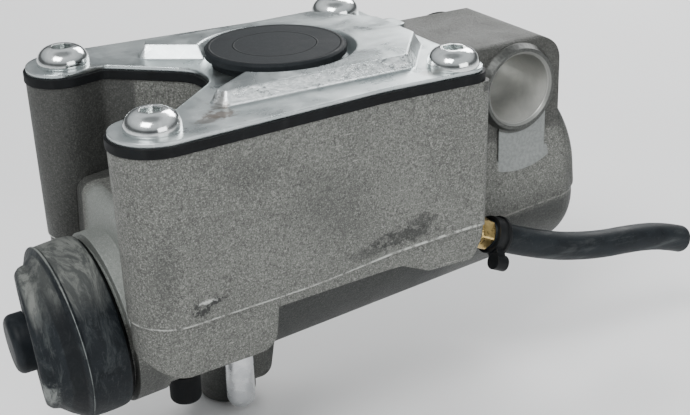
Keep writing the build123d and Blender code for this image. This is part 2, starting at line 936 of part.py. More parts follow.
def retaining_ring():
    """Open ring in the groove at the mouth of the bore."""
    outer = bore_radius + ring_groove_depth - face_gap
    band = ring(ring_start, stop_washer_start - face_gap, outer - ring_band, outer)
    reach = outer + 1
    spread = reach * math.tan(math.radians(ring_gap_angle / 2))
    wedge = make_face(Polyline((0, 0), (spread, -reach), (-spread, -reach), close=True))
    opening = extrude(Plane.YZ * wedge, amount=ring_thickness + 2)
    return band - Pos(ring_start - 1, 0, 0) * opening


def outlet_tube_seat():
    """Brass cone that the brake pipe's flare closes on."""
    start = tube_seat_end - tube_seat_length
    return lathe(
        (start, outlet_passage_radius),
        (start, tube_seat_radius),
        (tube_seat_end, tube_seat_radius),
        (tube_seat_end + tube_seat_radius - outlet_passage_radius - 0.5, outlet_passage_radius + 0.5),
        (tube_seat_end + tube_seat_radius - outlet_passage_radius - 0.5, outlet_passage_radius),
    )


def barb_fitting():
    """Brass hose fitting: hexagon, thread and barbed spigot, all drilled through."""
    hexagon = extrude(Plane.YZ * RegularPolygon(fitting_flats / 2, 6, major_radius=False), fitting_hex_length)
    crown = fitting_flats / 2 + 0.4
    hexagon &= lathe(
        (0, 0),
        (0, crown),
        (fitting_hex_length - 0.5, crown),
        (fitting_hex_length, fitting_flats / 2 - 0.3),
        (fitting_hex_length, 0),
    )
    start = fitting_hex_length - 0.5
    step = barb_length / 2
    spigot = [(start, 0), (start, barb_root_radius)]
    for barb in range(2):
        spigot.append((start + 0.6 + step * barb, barb_root_radius))
        spigot.append((start + 0.6 + step * barb, barb_tip_radius))
        spigot.append((start + step * (barb + 1), barb_root_radius))
    spigot.append((start + barb_length, 0))
    body = hexagon + lathe(*spigot)
    body += disc(-port_thread_depth + 0.3, 0.5, port_thread_radius)
    body -= disc(-port_thread_depth, fitting_hex_length + barb_length + 1, fitting_bore_radius)
    return port * body


def port_point(distance):
    """A place on the hose port's axis, at a distance from the fitting's seat."""
    turn = math.radians(port_tilt)
    return (port_x + distance * math.cos(turn), port_y, port_z - distance * math.sin(turn))


def hose_points():
    """The hose's route, from the hexagon's end to its free end."""
    start = fitting_hex_length + face_gap
    return [port_point(start), port_point(start + hose_first_run)] + hose_route


def bend_radii(points):
    """Bend radii from the shorter run on each side and half of the turn."""
    radii = []
    for a, b, c in zip(points, points[1:], points[2:]):
        into = Vector(*b) - Vector(*a)
        away = Vector(*c) - Vector(*b)
        turn = math.radians(into.get_angle(away))
        radii.append(0.45 * min(into.length, away.length) / math.tan(turn / 2))
    return radii


def hose():
    """Rubber hose pushed over the barbs, open and bare at its free end."""
    points = hose_points()
    radii = bend_radii(points)
    print("hose bend radii", [round(radius, 1) for radius in radii])
    path = FilletPolyline(*points, radius=radii)
    section = Plane(origin=path @ 0, z_dir=path % 0) * (Circle(hose_radius) - Circle(hose_bore_radius))
    solid = sweep(section, path=path)
    ideal = path.length * math.pi * (hose_radius**2 - hose_bore_radius**2)
    print("hose length", round(path.length, 1), "volume over ideal", round(solid.volume / ideal, 4))
    return solid


def hose_clamp():
    """Plastic band round the hose, with a raised lip, a screw block and its knob."""
    inner = hose_radius + face_gap
    outer = inner + clamp_band
    band = ring(0, clamp_width, inner, outer)
    band += ring(clamp_width - clamp_lip_width, clamp_width, inner, outer + clamp_lip)
    block = Pos(clamp_width / 2, 0, -outer - clamp_head_size / 2 + 0.5)
    block = block * Box(clamp_width * 0.7, clamp_head_size, clamp_head_size)
    knob = Pos(0, 0, -outer - clamp_head_size + 0.4) * disc(0, clamp_width, clamp_knob_radius)
    clamp = Rotation(-clamp_turn, 0, 0) * (band + block + knob)
    clamp -= disc(-clamp_width, 2 * clamp_width, inner)
    return port * Pos(fitting_hex_length + clamp_start, 0, 0) * clamp


def locating_pin():
    """Round-ended steel pin pressed into the underside of the barrel."""
    top = barrel_underside(pin_x, pin_y) + pin_seat_depth - face_gap
    pin = Cylinder(pin_radius, top - pin_bottom, align=upwards)
    pin = fillet(pin.edges().group_by(Axis.Z)[0], pin_radius * 0.9)
    return Pos(pin_x, pin_y, pin_bottom) * pin


def rubber_bumper():
    """Rubber stop whose stem is pressed into the underside of the barrel."""
    seat = barrel_underside(bump_x, bump_y)
    stem_top = seat + bump_seat_depth - face_gap
    body = Cylinder(bump_radius, seat - 0.6 - bump_bottom, align=upwards)
    body = fillet(body.edges().group_by(Axis.Z)[0], 1.2)
    body += Cylinder(bump_stem_radius, stem_top - bump_bottom, align=upwards)
    return Pos(bump_x, bump_y, bump_bottom) * body


def write_parts():
    """Writes every piece in the one shared frame."""
    pieces = {
        "cast_barrel": cast_barrel(),
        "cast_reservoir": cast_reservoir(),
        "cast_eye": cast_eye(),
        "reservoir_lid": reservoir_lid(),
        "lid_gasket": lid_gasket(),
        "lid_screws": lid_screws(),
        "filler_plug": filler_plug(),
        "push_rod": barrel * push_rod(),
        "rubber_boot": barrel * rubber_boot(),
        "piston": barrel * piston(),
        "cup_washer": barrel * ring(
            cup_washer_start, cup_washer_start + cup_washer_thickness, spigot_radius + 0.3, bore_radius - 0.4
        ),
        "primary_cup": barrel * primary_cup(),
        "secondary_cup": barrel * secondary_cup(),
        "spring_seat": barrel * spring_seat(),
        "return_spring": barrel * return_spring(),
        "residual_valve_shell": barrel * valve_shell(),
        "residual_valve_seat": barrel * valve_seat(),
        "stop_washer": barrel * stop_washer(),
        "retaining_ring": barrel * retaining_ring(),
        "outlet_tube_seat": barrel * outlet_tube_seat(),
        "barb_fitting": barb_fitting(),
        "hose": hose(),
        "hose_clamp": hose_clamp(),
        "locating_pin": locating_pin(),
        "rubber_bumper": rubber_bumper(),
    }
    os.makedirs("parts", exist_ok=True)
    for name, shape in pieces.items():
        export_step(shape, "parts/" + name + ".step")


write_parts()
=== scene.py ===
import json
import math

import bpy
from mathutils import Matrix, Vector


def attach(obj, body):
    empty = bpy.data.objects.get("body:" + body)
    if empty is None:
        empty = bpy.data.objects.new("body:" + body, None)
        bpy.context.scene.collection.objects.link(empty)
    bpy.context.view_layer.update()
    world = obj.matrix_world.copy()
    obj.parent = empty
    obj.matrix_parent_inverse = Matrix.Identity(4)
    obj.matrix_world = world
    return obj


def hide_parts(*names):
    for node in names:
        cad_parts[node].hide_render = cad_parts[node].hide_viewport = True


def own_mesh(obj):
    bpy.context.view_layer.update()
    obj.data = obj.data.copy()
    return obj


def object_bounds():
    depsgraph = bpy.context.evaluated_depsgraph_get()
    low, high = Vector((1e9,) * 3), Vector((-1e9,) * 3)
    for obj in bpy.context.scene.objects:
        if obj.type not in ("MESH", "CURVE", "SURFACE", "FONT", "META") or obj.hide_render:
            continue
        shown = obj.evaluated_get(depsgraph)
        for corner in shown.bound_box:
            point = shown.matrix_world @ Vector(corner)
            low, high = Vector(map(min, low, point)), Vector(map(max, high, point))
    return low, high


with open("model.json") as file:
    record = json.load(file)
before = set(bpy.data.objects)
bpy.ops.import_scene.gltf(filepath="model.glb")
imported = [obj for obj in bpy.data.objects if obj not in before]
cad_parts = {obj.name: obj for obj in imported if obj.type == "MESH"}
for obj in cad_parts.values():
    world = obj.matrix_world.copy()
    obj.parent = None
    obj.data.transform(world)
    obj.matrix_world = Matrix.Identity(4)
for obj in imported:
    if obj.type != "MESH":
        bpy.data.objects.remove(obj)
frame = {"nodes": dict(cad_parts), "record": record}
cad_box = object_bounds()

MM = 0.001
MM_PER_METRE = 1000.0
nodes = frame["nodes"]

# The barrel's own frame: distances in millimetres, along it from the boot's seat.
TILT = math.radians(5.0)
DROP, TO_EYE = 28.7, 99.1

# The rod leans about its ball. The boot's front leans with it and is turned a little more.
BALL, LEAN = 4.5, math.radians(4.5)
FRONT_TURN = math.radians(6.0)
SEAM_AT = -9.3

# The casting's places, in millimetres of the shared frame, whose origin is the eye.
EYE_END = -17.0  # the casting behind this is the eye's end
BARREL_REACH = 19.5  # the barrel's side is nearer the middle than this
SADDLE_HEIGHT = 8.3  # above the barrel's axis
PARTING_FRONT, PARTING_RISE = -26.6, 3.0
RING_FOOT, BORE_EDGE, BORE_WALL = 10.4, 8.75, 8.1  # radii about the eye's axis


def barrel_point(s, y, z):
    """A place in the barrel's own frame, in metres of the shared frame."""
    x, z = s - TO_EYE, z - DROP
    c, n = math.cos(TILT), math.sin(TILT)
    return Vector((x * c - z * n, y, x * n + z * c)) * MM


# ------------------------------------------------------------ node materials
class Look:
    """One procedural material, built from small steps. Sizes are in millimetres."""

    def __init__(self, name, metallic=0.0, roughness=0.5, **sockets):
        self.material = bpy.data.materials.new(name)
        self.material.use_nodes = True
        self.tree = self.material.node_tree
        self.shader = self.tree.nodes["Principled BSDF"]
        self.shader.inputs["Metallic"].default_value = metallic
        self.shader.inputs["Roughness"].default_value = roughness
        for key, value in sockets.items():
            self.shader.inputs[key.replace("_", " ")].default_value = value
        self.place = self.node("ShaderNodeTexCoord").outputs["Object"]
        self.normal = None
        self.colour = None

    def node(self, kind, **settings):
        made = self.tree.nodes.new(kind)
        for key, value in settings.items():
            setattr(made, key, value)
        return made

    def feed(self, socket, value):
        if isinstance(value, bpy.types.NodeSocket):
            self.tree.links.new(value, socket)
        elif isinstance(value, (tuple, list)) and len(value) == 3 and socket.type == "RGBA":
            socket.default_value = (*value, 1)
        else:
            socket.default_value = value

    # numbers
    def math(self, operation, a, b=0.0):
        made = self.node("ShaderNodeMath", operation=operation)
        self.feed(made.inputs[0], a)
        self.feed(made.inputs[1], b)
        return made.outputs[0]

    def times(self, first, *others):
        for other in others:
            first = self.math("MULTIPLY", first, other)
        return first

    def away(self, value, place):
        """How far a value is from a place, either way."""
        return self.math("ABSOLUTE", self.math("SUBTRACT", value, place))

    def radius(self, a, b):
        """How far a place is from an axis, from its distances along two other axes."""
        return self.math("SQRT", self.math("ADD", self.times(a, a), self.times(b, b)))

    def below(self, value, limit):
        return self.math("LESS_THAN", value, limit * MM)

    def beyond(self, value, limit):
        return self.math("GREATER_THAN", value, limit * MM)

    def span(self, value, low, high, out_low=0.0, out_high=1.0):
        """A smooth step from out_low to out_high as a value goes from low to high."""
        made = self.node("ShaderNodeMapRange", clamp=True, interpolation_type="SMOOTHSTEP")
        for socket, number in zip(made.inputs, (value, low, high, out_low, out_high)):
            self.feed(socket, number)
        return made.outputs[0]

    def ramp(self, value, low, high, out_low=0.0, out_high=1.0):
        """The same smooth step, with low and high in millimetres."""
        return self.span(value, low * MM, high * MM, out_low, out_high)

    def spread(self, cloud, out_low=0.0, out_high=1.0):
        """The same smooth step over the usual range of a noise."""
        return self.span(cloud, 0.3, 0.7, out_low, out_high)

    def between(self, value, low, high, soft):
        """One between two places in millimetres, fading to zero over a soft edge."""
        up = self.ramp(value, low - soft, low)
        down = self.ramp(value, high, high + soft, 1.0, 0.0)
        return self.times(up, down)

    # places and directions
    def axes(self, place=None):
        made = self.node("ShaderNodeSeparateXYZ")
        self.feed(made.inputs[0], place or self.place)
        return made.outputs

    def place_from(self, centre):
        """The place measured from a centre in millimetres."""
        made = self.node("ShaderNodeVectorMath", operation="SUBTRACT")
        self.feed(made.inputs[0], self.place)
        made.inputs[1].default_value = [c * MM for c in centre]
        return made.outputs[0]

    def moved(self, stretch=(1, 1, 1), turn=(0, 0, 0)):
        made = self.node("ShaderNodeMapping")
        self.feed(made.inputs["Vector"], self.place)
        made.inputs["Scale"].default_value = stretch
        made.inputs["Rotation"].default_value = turn
        return made.outputs[0]

    def flat_normal(self):
        return self.node("ShaderNodeNewGeometry").outputs["Normal"]

    def facing(self, direction):
        """How much the surface faces a direction, from -1 to 1."""
        made = self.node("ShaderNodeVectorMath", operation="DOT_PRODUCT")
        self.feed(made.inputs[0], self.flat_normal())
        made.inputs[1].default_value = Vector(direction).normalized()
        return made.outputs["Value"]

    # patterns
    def noise(self, size, detail=4.0, rough=0.55, distort=0.0, place=None):
        made = self.node("ShaderNodeTexNoise")
        self.feed(made.inputs["Vector"], place or self.place)
        made.inputs["Scale"].default_value = MM_PER_METRE / size
        made.inputs["Detail"].default_value = detail
        made.inputs["Roughness"].default_value = rough
        made.inputs["Distortion"].default_value = distort
        return made.outputs["Fac"]

    def dots(self, size, core, rim):
        """Small dots, one to a cell, that fade between two shares of a cell's size."""
        made = self.node("ShaderNodeTexVoronoi")
        self.feed(made.inputs["Vector"], self.place)
        made.inputs["Scale"].default_value = MM_PER_METRE / size
        return self.span(made.outputs["Distance"], core, rim, 1.0, 0.0)

    def spot(self, centre, radii, ragged, size):
        """A soft ragged patch about a place, from 0 outside to 1 inside."""
        scaled = self.node("ShaderNodeVectorMath", operation="DIVIDE")
        self.feed(scaled.inputs[0], self.place_from(centre))
        scaled.inputs[1].default_value = [r * MM for r in radii]
        length = self.node("ShaderNodeVectorMath", operation="LENGTH")
        self.feed(length.inputs[0], scaled.outputs[0])
        wobble = self.times(self.math("SUBTRACT", self.noise(size, 5.0, 0.7), 0.5), ragged * 4)
        return self.span(self.math("ADD", length.outputs["Value"], wobble), 1.15, 0.45)

    # colour
    def mix(self, share, a, b):
        made = self.node("ShaderNodeMix", data_type="RGBA")
        self.feed(made.inputs[0], share)
        self.feed(made.inputs[6], a)
        self.feed(made.inputs[7], b)
        return made.outputs[2]

    def paint(self, mask, colour, strength=None):
        """Lays a colour over the one so far, by a mask and a strength."""
        share = mask if strength is None else self.times(mask, strength)
        self.colour = self.mix(share, self.colour, colour)

    # relief
    def round_edges(self, radius, share=None):
        """Softens the light at edges, everywhere or by a share."""
        made = self.node("ShaderNodeBevel", samples=6)
        made.inputs["Radius"].default_value = radius * MM
        self.normal = made.outputs[0]
        if share is not None:
            blend = self.node("ShaderNodeMix", data_type="VECTOR")
            self.feed(blend.inputs[0], share)
            self.feed(blend.inputs[4], self.flat_normal())
            self.feed(blend.inputs[5], self.normal)
            self.normal = blend.outputs[1]

    def bump(self, height, depth, strength):
        made = self.node("ShaderNodeBump")
        made.inputs["Strength"].default_value = strength
        made.inputs["Distance"].default_value = depth * MM
        self.feed(made.inputs["Height"], height)
        if self.normal is not None:
            self.feed(made.inputs["Normal"], self.normal)
        self.normal = made.outputs[0]

    def finish(self, roughness=None):
        self.feed(self.shader.inputs["Base Color"], self.colour)
        if roughness is not None:
            self.feed(self.shader.inputs["Roughness"], roughness)
        if self.normal is not None:
            self.feed(self.shader.inputs["Normal"], self.normal)
        return self.material


class Casting(Look):
    """Grainy raw casting with stains, scuffs, a bright flash line, machined faces, and painted shade and
    highlights.
    """

    def __init__(self):
        super().__init__("cast_aluminium", metallic=0.5, roughness=0.6)
        self.x, self.y, self.z = self.axes()
        self.depth = self.math("ABSOLUTE", self.y)
        self.cloud = self.noise(15.0, 5.0, 0.6, 0.4)
        self.speck = self.noise(0.72, 4.0, 0.65)
        self.grain = self.noise(0.31, 3.0, 0.65)
        self.pits = self.times(self.dots(2.6, 0.02, 0.10), self.span(self.noise(6.0, 2.0), 0.5, 0.62))
        self.broken = self.span(self.noise(2.0, 4.0, 0.75), 0.40, 0.56, 0.05, 1.0)
        axis = self.math("ADD", self.times(self.x, math.tan(TILT)), -DROP * MM / math.cos(TILT))
        self.above = self.math("SUBTRACT", self.z, axis)
        self.on_eye_end = self.ramp(self.x, EYE_END - 0.5, EYE_END + 0.5)
        self.on_barrel = self.below(self.depth, BARREL_REACH)

    def build(self):
        self.raw_skin()
        self.scratches()
        self.stains()
        self.painted_shade_and_highlight()
        self.flash_lines()
        self.barrel_shades()
        self.eye_shades()
        machined = self.machined_faces()
        self.relief(machined)
        rough = self.spread(self.cloud, 0.52, 0.68)
        return self.finish(self.math("SUBTRACT", rough, self.times(machined, 0.2)))

    def raw_skin(self):
        """Cloudy grey with dark and light grain of two sizes, and pits."""
        self.colour = self.mix(self.span(self.cloud, 0.3, 0.72), (0.126, 0.129, 0.119), (0.184, 0.188, 0.174))
        self.paint(self.span(self.noise(42.0, 3.0, 0.5), 0.35, 0.7, 0.0, 0.4), (0.100, 0.102, 0.094))
        self.paint(self.span(self.speck, 0.34, 0.50, 0.55, 0.0), (0.050, 0.051, 0.047))
        self.paint(self.span(self.speck, 0.54, 0.70, 0.0, 0.42), (0.32, 0.325, 0.30))
        self.paint(self.span(self.grain, 0.32, 0.50, 0.70, 0.0), (0.048, 0.049, 0.045))
        self.paint(self.span(self.grain, 0.53, 0.66, 0.0, 0.60), (0.37, 0.375, 0.35))
        self.paint(self.pits, (0.040, 0.041, 0.039), 0.6)

    def scratches(self):
        """Fine bright scratches in two directions."""
        for turn, size, least in (((0.3, 0.4, 0.5), 26.0, 0.66), ((0.2, -1.0, 0.2), 34.0, 0.68)):
            lines = self.noise(size, 3.0, 0.7, place=self.moved((1, 60, 60), turn))
            patches = self.span(self.noise(14.0, 2.0), 0.5, 0.6)
            self.paint(self.times(self.span(lines, least, least + 0.03), patches), (0.46, 0.46, 0.43), 0.6)

    def stains(self):
        """Dark stains and scuffs on the near wall, and a bright fleck in one."""
        for centre, radii, strength, ragged, size in (
            ((-38.5, -30.0, -21.5), (8.5, 4.0, 1.9), 0.75, 0.9, 1.4),
            ((-34.0, -30.0, -19.2), (4.0, 4.0, 1.6), 0.6, 0.9, 1.4),
            ((-46.5, -30.0, -23.2), (5.0, 4.0, 1.4), 0.5, 0.9, 1.4),
            ((-83.4, -33.0, -22.7), (2.4, 4.0, 0.7), 0.9, 1.1, 0.8),
            ((-86.0, -33.0, -24.2), (2.2, 4.0, 0.8), 0.9, 1.1, 0.8),
            ((-87.2, -33.0, -22.8), (0.9, 4.0, 1.4), 0.8, 1.1, 0.8),
            ((-74.0, -32.0, 2.0), (9.0, 5.0, 4.5), 0.16, 0.5, 3.0),
            ((-62.0, -31.5, -2.5), (5.0, 5.0, 2.5), 0.14, 0.5, 3.0),
            ((-93.0, -33.0, -14.0), (3.0, 6.0, 9.0), 0.25, 0.5, 3.0),
            ((-56.5, -31.0, -10.0), (12.0, 5.0, 9.0), 0.2, 0.5, 3.0),
        ):
            self.paint(self.spot(centre, radii, ragged, size), (0.024, 0.025, 0.025), strength)
        fleck = self.spot((-85.2, -33.0, -22.4), (1.9, 4.0, 0.42), 1.0, 0.8)
        self.paint(fleck, (0.55, 0.56, 0.53), 0.9)

    def painted_shade_and_highlight(self):
        """Darker low down in clouds, painted shade inside the notch, under the front and about the eye, and a
        painted highlight that makes the front wall paler.
        """
        x, y, z = self.x, self.y, self.z
        # Darker towards the bottom, in clouds.
        low = self.times(self.ramp(z, -46.0, -62.0), self.spread(self.cloud, 0.25, 0.8))
        self.paint(low, (0.05, 0.052, 0.05))
        # Painted shade inside the notch, strongest high up.
        notch = self.times(self.between(y, 14.2, 34.5, 1.0), self.ramp(x, -68.0, -72.0))
        self.paint(self.times(notch, self.ramp(z, -40.0, -36.0)), (0.030, 0.031, 0.030), 0.72)
        # Painted highlight: the front shoulder under the lid is painted paler.
        front_highlight = self.times(self.between(x, -101.0, -89.5, 0.5), self.between(z, -31.0, -12.0, 1.0))
        front_highlight = self.times(front_highlight, self.between(y, -19.2, 40.0, 0.3), self.ramp(y, 13.8, 8.5))
        self.paint(front_highlight, (0.34, 0.365, 0.345), 0.5)
        # Painted shade low on the front.
        front = self.times(self.ramp(x, -86.0, -90.0), self.ramp(self.depth, 19.3, 19.0))
        self.paint(self.times(front, self.ramp(z, -36.0, -44.0)), (0.028, 0.030, 0.030), 0.6)
        # Painted shade over the eye's end, above the barrel.
        eye_end = self.ramp(x, EYE_END - 0.8, EYE_END + 0.8)
        self.paint(self.times(eye_end, self.ramp(z, -13.0, -10.0)), (0.030, 0.030, 0.028), 0.66)
        # Painted shade in the gap where the lid meets the eye's block.
        gap = self.times(self.between(x, -19.0, -15.6, 0.8), self.between(z, 7.0, 9.6, 0.9))
        self.paint(gap, (0.02, 0.02, 0.02), 0.6)

    def flash_lines(self):
        """The bright flash along the parting ledge, and along the side of the barrel."""
        rise = self.ramp(self.x, -66.0, EYE_END, 0.0, PARTING_RISE * MM)
        ledge = self.away(self.z, self.math("ADD", rise, PARTING_FRONT * MM))
        flash = self.times(self.ramp(ledge, 0.42, 0.10), self.ramp(self.depth, 20.0, 21.5))
        self.paint(self.times(flash, self.broken), (0.50, 0.51, 0.48))
        side = self.times(self.ramp(self.depth, 15.0, 16.5), self.on_eye_end, self.on_barrel)
        side = self.times(side, self.ramp(self.math("ABSOLUTE", self.above), 0.32, 0.10))
        self.paint(self.times(side, self.broken), (0.42, 0.42, 0.39), 0.6)

    def barrel_shades(self):
        """Painted shade: the rear is darker below the barrel's axis, and so is the near side of the barrel's
        belly.
        """
        near_eye = self.times(self.ramp(self.x, -36.0, -16.5), self.on_barrel)
        rear = self.math("MAXIMUM", self.on_eye_end, near_eye)
        self.paint(self.times(self.ramp(self.above, 9.0, -2.0), rear), (0.050, 0.051, 0.048), 0.40)
        # Painted shade along the near side of the belly.
        belly = self.times(self.between(self.x, -76.0, -22.0, 6.0), self.on_barrel)
        belly = self.times(belly, self.ramp(self.above, 3.0, -2.0), self.ramp(self.y, 6.0, -4.0))
        self.paint(belly, (0.018, 0.020, 0.021), 0.78)
        self.paint(self.times(self.ramp(self.above, 0.0, -1.5), rear), (0.040, 0.043, 0.044), 0.5)

    def eye_shades(self):
        """Painted shade: the crown and the back of the eye's block are darker."""
        crown = self.times(self.ramp(self.x, EYE_END - 0.8, EYE_END + 0.8), self.ramp(self.z, 6.0, 10.0))
        self.paint(crown, (0.045, 0.046, 0.043), 0.30)
        self.paint(self.ramp(self.x, 12.8, 14.2), (0.040, 0.041, 0.040), 0.35)

    def machined_faces(self):
        """The machined ring, pad and bore of the eye. Gives the mask of what is machined."""
        radius = self.radius(self.x, self.z)
        pad = self.times(self.between(self.x, -5.0, 8.9, 0.05), self.below(radius, 19.6))
        pad = self.times(pad, self.below(self.z, -3.0), self.below(self.y, 0.0))
        face = self.math("MAXIMUM", pad, self.below(radius, RING_FOOT))
        face = self.times(face, self.beyond(self.depth, 16.2))
        machined = self.math("MAXIMUM", face, self.below(radius, BORE_EDGE))
        raw = self.colour
        cuts = self.noise(0.5, 2.0, 0.6, place=self.moved((1, 0.05, 1)))
        self.colour = self.mix(self.spread(cuts), (0.046, 0.048, 0.045), (0.082, 0.085, 0.080))
        self.paint(self.span(self.noise(5.0, 4.0), 0.5, 0.75, 0.0, 0.5), (0.055, 0.057, 0.054))
        worn = self.mix(self.span(self.speck, 0.38, 0.62), (0.205, 0.219, 0.214), (0.262, 0.278, 0.271))
        off_ring = self.ramp(radius, RING_FOOT, RING_FOOT + 0.3)
        self.paint(self.times(off_ring, self.ramp(self.z, -4.0, -6.0)), worn, 0.85)
        # The bore's own bright machined metal, painted darker towards its top as painted shade inside the
        # hole.
        bore_metal_and_shade = self.mix(self.spread(self.cloud), (0.52, 0.525, 0.50), (0.80, 0.80, 0.76))
        bore_metal_and_shade = self.mix(self.ramp(self.z, -3.0, 7.2, 0.0, 0.8), bore_metal_and_shade, (0.08, 0.083, 0.078))
        self.paint(self.times(self.below(radius, BORE_WALL), self.below(self.depth, 17.5)), bore_metal_and_shade)
        lip = self.times(self.between(radius, 8.0, 8.5, 0.15), self.beyond(self.depth, 16.8))
        self.paint(lip, (0.30, 0.305, 0.29), 0.7)
        self.colour = self.mix(machined, raw, self.colour)
        return machined

    def relief(self, machined):
        """Rounded edges, except where two lengths of the one casting meet, and the grain."""
        saddle = self.away(self.above, SADDLE_HEIGHT * MM / math.cos(TILT))
        plain = self.times(self.ramp(saddle, 1.2, 0.7), self.on_eye_end)
        self.round_edges(0.35, self.math("SUBTRACT", 1.0, plain))
        skin = self.math("ADD", self.times(self.grain, 0.45), self.times(self.speck, 0.6))
        skin = self.math("SUBTRACT", skin, self.times(self.pits, 0.5))
        skin = self.times(skin, self.span(machined, 0.0, 1.0, 1.0, 0.15))
        self.bump(self.noise(9.0, 2.0), 0.5, 0.5)
        self.bump(skin, 0.30, 0.8)


def zinc_sheet():
    """Bright zinc on pressed sheet: cloudy and scratched, with flecked slopes painted lighter on the far
    side, and rusty stains.
    """
    k = Look("zinc_lid", metallic=1.0, roughness=0.3)
    cloud = k.noise(12.0, 5.0, 0.6, 0.6)
    fine = k.noise(1.1, 4.0, 0.65)
    k.colour = k.mix(k.spread(cloud), (0.43, 0.475, 0.48), (0.57, 0.61, 0.61))
    k.paint(k.span(fine, 0.56, 0.72, 0.0, 0.4), (0.74, 0.77, 0.77))
    for turn, least in ((0.7, 0.66), (-0.5, 0.67), (1.6, 0.68)):
        lines = k.noise(22.0, 3.0, 0.7, place=k.moved((1, 50, 1), (0, 0, turn)))
        k.paint(k.span(lines, least, least + 0.02, 0.0, 0.5), (0.82, 0.84, 0.84))
    crumbs = k.noise(0.7, 4.0, 0.7, place=k.moved((0.6, 1, 1)))
    slope = slope_flecks_and_painted_light(k, crumbs)
    for centre, radii, strength, ragged in (
        ((-76.0, -24.5, 12.0), (3.4, 3.0, 4.0), 0.85, 0.8),
        ((-79.5, -26.5, 12.0), (3.6, 1.6, 4.0), 0.6, 0.9),
        ((-74.5, -20.5, 12.0), (1.6, 2.6, 4.0), 0.5, 0.9),
        ((-86.0, 17.0, 12.0), (3.0, 3.0, 4.0), 0.3, 0.5),
        ((-30.0, -26.5, 12.0), (2.5, 2.0, 4.0), 0.35, 0.5),
    ):
        k.paint(k.spot(centre, radii, ragged, 2.0), (0.17, 0.135, 0.11), strength)
    pits = k.times(k.dots(3.4, 0.03, 0.10), k.span(k.noise(8.0, 2.0), 0.52, 0.62))
    k.paint(pits, (0.20, 0.19, 0.17), 0.6)
    k.round_edges(0.6)
    k.bump(k.noise(16.0, 2.0), 0.35, 0.5)
    k.bump(k.times(crumbs, slope), 0.12, 0.8)
    k.bump(fine, 0.02, 0.6)
    return k.finish(k.spread(cloud, 0.24, 0.40))


def slope_flecks_and_painted_light(k, crumbs):
    """Dark flecks and bright crumbs on the raised panel's slopes, with fewer dark flecks on the far slope as
    painted light. Gives the slopes' mask.
    """
    _, y, z = k.axes()
    slope = k.times(k.span(k.facing((0, 0, 1)), 0.97, 0.90), k.ramp(z, 11.8, 12.2))
    slope = k.times(slope, k.ramp(k.math("ABSOLUTE", y), 16.5, 17.5))
    patches = k.span(k.noise(7.0, 2.0), 0.40, 0.60, 0.15, 0.95)
    # Fewer dark flecks towards the far side: painted light, the far slope shown brighter.
    dark = k.times(k.span(crumbs, 0.47, 0.36), patches, k.ramp(y, 0.0, 10.0, 1.0, 0.2))
    k.paint(slope, (0.74, 0.78, 0.78))
    k.paint(slope, (0.16, 0.18, 0.19), dark)
    k.paint(slope, (0.94, 0.97, 0.97), k.span(crumbs, 0.52, 0.60))
    return slope


def bright_metal(name, low, high, rough, size=4.0):
    """Plated or machined metal with faint clouds and handling marks."""
    k = Look(name, metallic=1.0, roughness=0.25)
    cloud = k.noise(size, 5.0, 0.6, 0.4)
    marks = k.span(k.noise(size * 0.5, 5.0, 0.7), 0.60, 0.75, 0.0, 0.4)
    k.colour = k.mix(k.spread(cloud), low, high)
    k.paint(marks, [c * 0.45 for c in low])
    k.round_edges(0.3)
    k.bump(k.noise(size * 0.12, 3.0, 0.6), 0.012, 0.6)
    return k.finish(k.span(cloud, 0.3, 0.72, *rough))


def moulded(name, low, high, dust, dust_share, rough=(0.5, 0.72), wipe=(1.6, 0.7, 0.8)):
    """Moulded rubber or plastic: fine grain, with dust rubbed into it in patches."""
    k = Look(name, metallic=0.0, roughness=0.6, Specular_IOR_Level=0.12)
    cloud = k.noise(7.0, 6.0, 0.65, 0.8)
    smear = k.noise(9.0, 5.0, 0.7, 0.5, place=k.moved(wipe))
    fine = k.noise(0.6, 3.0, 0.6)
    k.colour = k.mix(k.spread(cloud), low, high)
    k.paint(k.span(smear, 0.50, 0.72, 0.0, dust_share), dust)
    k.paint(k.span(fine, 0.60, 0.75, 0.0, 0.35 * dust_share), dust)
    k.round_edges(0.3)
    k.bump(fine, 0.05, 0.6)
    return k.finish(k.spread(cloud, *rough))


def boot_rubber():
    """Black boot with dust wiped along it, painted lighter on its upper side with the dust, and a pale seam.
    """
    k = Look("boot_rubber", metallic=0.0, roughness=0.6, Specular_IOR_Level=0.16)
    cloud = k.noise(6.0, 6.0, 0.7, 1.2)
    wipes = k.noise(10.0, 6.0, 0.75, 1.6, place=k.moved((2.2, 0.8, 0.9), (0.5, 0.3, 0.2)))
    hair = k.noise(5.0, 5.0, 0.75, 0.8, place=k.moved((6.0, 1.2, 1.2), (0.2, 0.5, 0.9)))
    fine = k.noise(0.5, 3.0, 0.6)
    k.colour = k.mix(k.spread(cloud), (0.004, 0.006, 0.008), (0.012, 0.015, 0.018))
    k.paint(k.span(wipes, 0.48, 0.66, 0.0, 0.42), (0.052, 0.060, 0.062))
    k.paint(k.span(hair, 0.54, 0.70, 0.0, 0.42), (0.072, 0.081, 0.081))
    # Lighter where the boot faces up: dust in the wipes, with painted light on the upper side.
    upper = k.times(k.span(k.facing((-0.25, -0.15, 0.95)), 0.62, 0.96), k.span(wipes, 0.40, 0.58, 0.35, 1.0))
    k.paint(upper, (0.165, 0.172, 0.160), 0.9)
    k.paint(k.span(fine, 0.58, 0.74, 0.0, 0.2), (0.08, 0.085, 0.08))
    boot_marks(k, hair)
    k.round_edges(0.2)
    k.bump(k.math("ADD", cloud, k.times(hair, 0.4)), 0.25, 0.5)
    k.bump(fine, 0.05, 0.6)
    return k.finish(k.spread(cloud, 0.48, 0.70))


